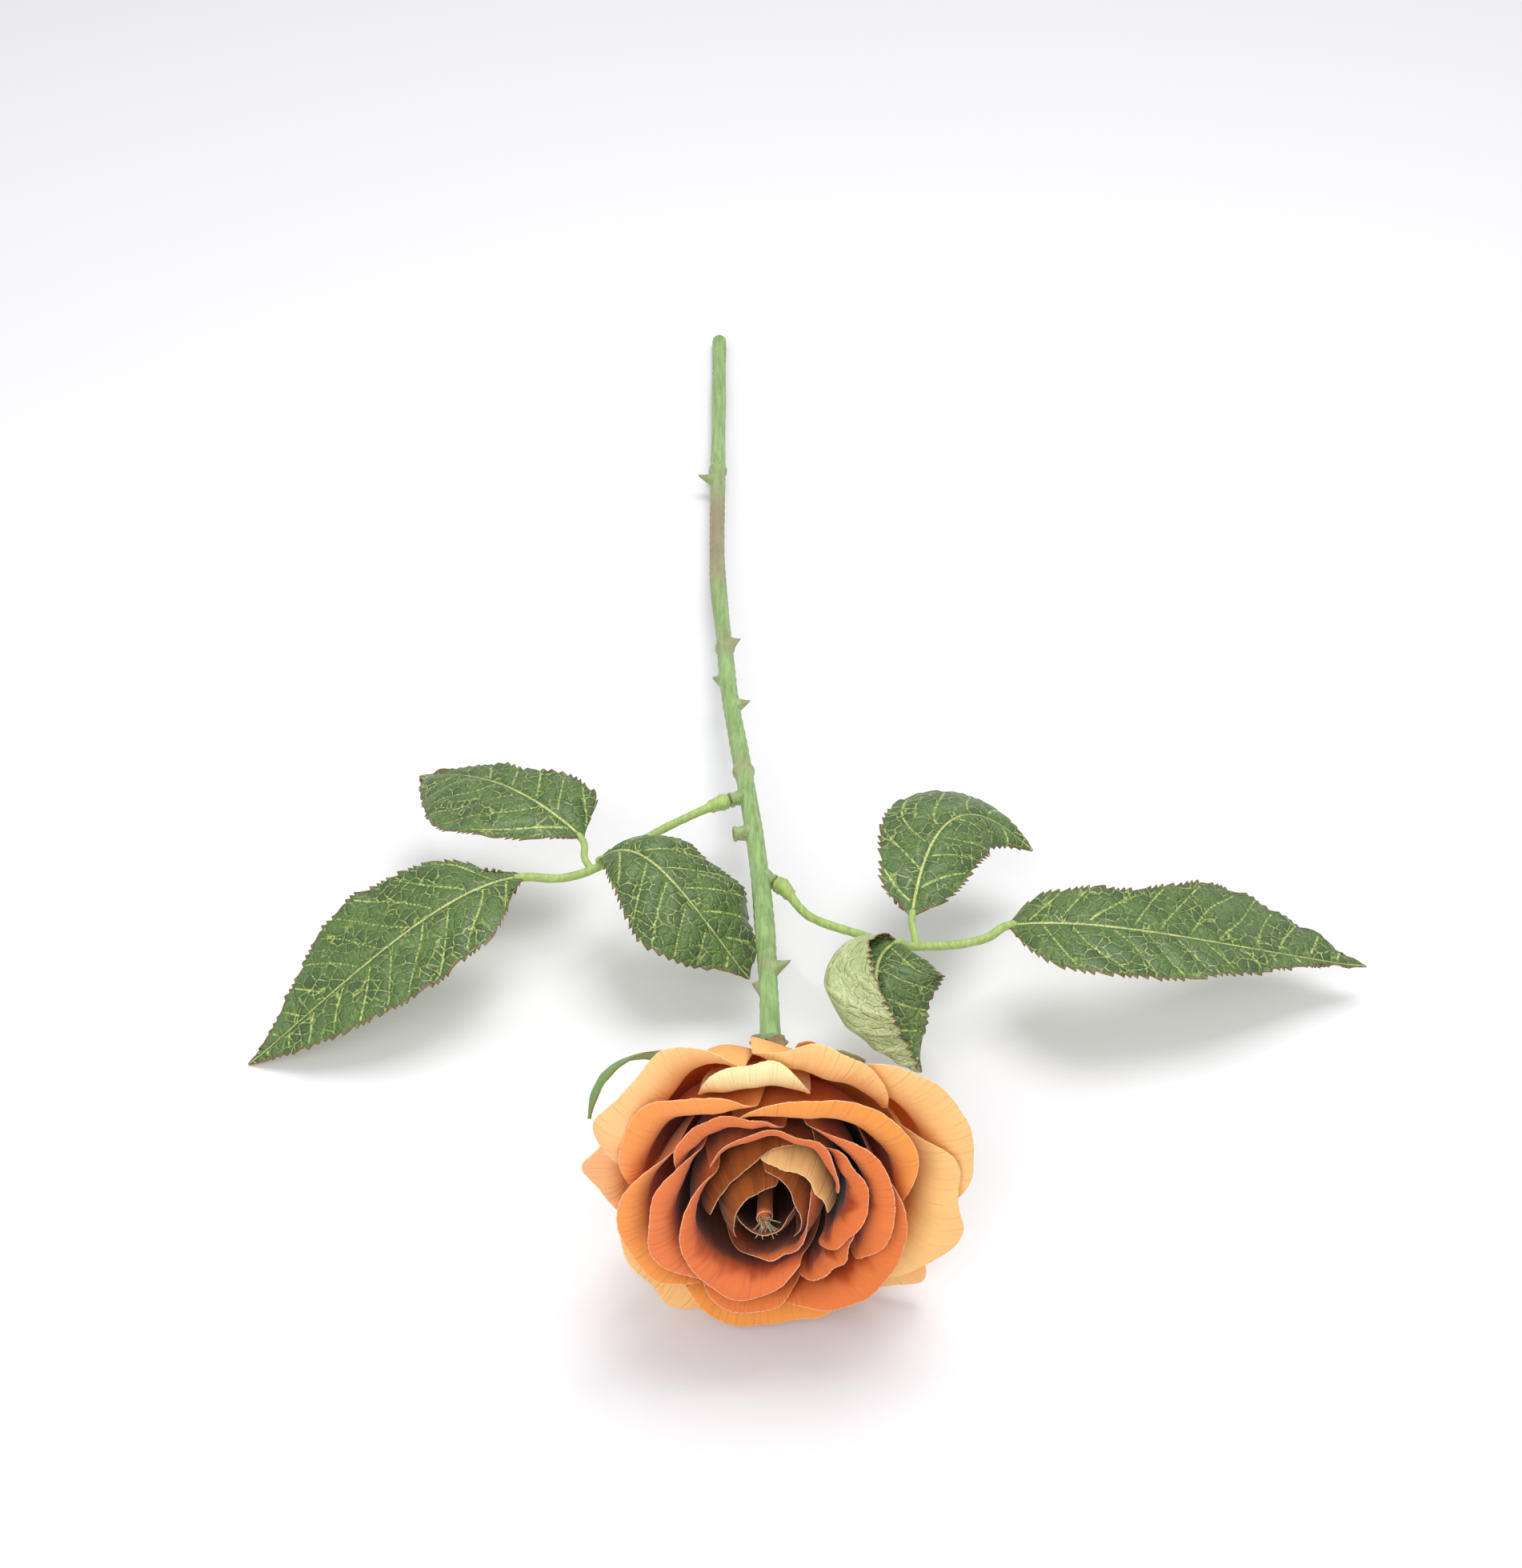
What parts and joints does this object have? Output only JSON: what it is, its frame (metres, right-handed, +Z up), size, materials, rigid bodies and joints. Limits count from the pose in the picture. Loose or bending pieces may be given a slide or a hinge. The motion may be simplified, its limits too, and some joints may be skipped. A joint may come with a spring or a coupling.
{
  "type": "cut rose",
  "caption": "Artificial long-stemmed rose: a full open fabric bloom on a thorned moulded stem with two leaf sprays, for a vase or a bouquet.",
  "frame": {"origin": "centre of the underside of the bounding box, on the surface that the rose lies on", "axes": "+Y from the bloom towards the cut end of the stem, along the length; +X to the right as seen from the bloom's end; +Z up from the surface"},
  "size_m": [0.2856, 0.4732, 0.0804],
  "materials": {
    "outer_petal_fabric": "matt heat-formed polyester petal cloth, peach to golden orange",
    "middle_petal_fabric": "matt heat-formed polyester petal cloth, golden orange",
    "inner_petal_fabric": "matt heat-formed polyester petal cloth, terracotta orange",
    "heart_petal_fabric": "matt heat-formed polyester petal cloth, terracotta",
    "bud_petal_fabric": "matt heat-formed polyester petal cloth, khaki outside and terracotta rims",
    "core_fabric": "rolled and frayed petal cloth",
    "calyx_plastic": "moulded green, satin",
    "sepal_fabric": "printed green cloth, pale underneath",
    "stem_plastic": "moulded green with brown-mauve patches, satin",
    "stalk_plastic": "moulded light green, satin",
    "leaf_fabric": "printed and lightly coated cloth, yellow-green veins, pale underneath"
  },
  "bodies": {
    "root": {"outer_petal_1": "outer_petal_fabric", "outer_petal_2": "outer_petal_fabric", "outer_petal_3": "outer_petal_fabric", "outer_petal_4": "outer_petal_fabric", "outer_petal_5": "outer_petal_fabric", "outer_petal_6": "outer_petal_fabric", "outer_petal_7": "outer_petal_fabric", "outer_petal_8": "outer_petal_fabric", "middle_petal_1": "middle_petal_fabric", "middle_petal_2": "middle_petal_fabric", "middle_petal_3": "middle_petal_fabric", "middle_petal_4": "middle_petal_fabric", "inner_petal_1": "inner_petal_fabric", "inner_petal_2": "inner_petal_fabric", "inner_petal_3": "inner_petal_fabric", "inner_petal_4": "inner_petal_fabric", "inner_petal_5": "inner_petal_fabric", "heart_petal_1": "heart_petal_fabric", "heart_petal_2": "heart_petal_fabric", "heart_petal_3": "heart_petal_fabric", "heart_petal_4": "heart_petal_fabric", "heart_petal_5": "heart_petal_fabric", "bud_petal_1": "bud_petal_fabric", "bud_petal_2": "bud_petal_fabric", "bud_petal_3": "bud_petal_fabric", "bud_petal_4": "bud_petal_fabric", "bud_petal_5": "bud_petal_fabric", "bloom_core": "core_fabric", "calyx_cup": "calyx_plastic", "sepal_1": "sepal_fabric", "sepal_2": "sepal_fabric", "sepal_3": "sepal_fabric", "sepal_4": "sepal_fabric", "sepal_5": "sepal_fabric", "stem": "stem_plastic", "leaf_stalk_left": "stalk_plastic", "leaf_stalk_right": "stalk_plastic", "leaflet_left_terminal": "leaf_fabric", "leaflet_left_upper": "leaf_fabric", "leaflet_left_inner": "leaf_fabric", "leaflet_right_upper": "leaf_fabric", "leaflet_right_terminal": "leaf_fabric", "leaflet_right_lower": "leaf_fabric"}
  },
  "joints": []
}
